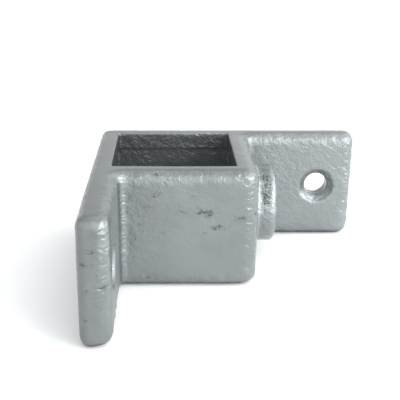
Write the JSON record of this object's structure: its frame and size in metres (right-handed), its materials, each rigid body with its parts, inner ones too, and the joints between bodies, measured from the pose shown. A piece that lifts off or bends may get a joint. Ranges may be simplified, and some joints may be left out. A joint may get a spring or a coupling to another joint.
{
  "type": "square tube connector",
  "caption": "Cast galvanised corner connector: a square collar that slides over a tube and is gripped by a set screw, with two countersunk fixing lugs at right angles.",
  "frame": {"origin": "on the axis of the square tube, on the bottom face of the collar and lugs", "axes": "+Z along the tube; +X along the back lug; the other lug runs towards -Y"},
  "size_m": [0.0948, 0.0948, 0.04],
  "materials": {
    "galvanised_casting": "hot-dip galvanised cast iron, hammered light grey",
    "set_screw_steel": "zinc-coated steel, dull grey"
  },
  "bodies": {
    "casting": {"casting": "galvanised_casting"},
    "set_screw": {"set_screw": "set_screw_steel"}
  },
  "joints": [
    {"name": "set_screw_feed", "type": "slide", "parent": "casting", "child": "set_screw", "axis": [-1, 0, 0], "range_m": [0, 0.003]}
  ]
}
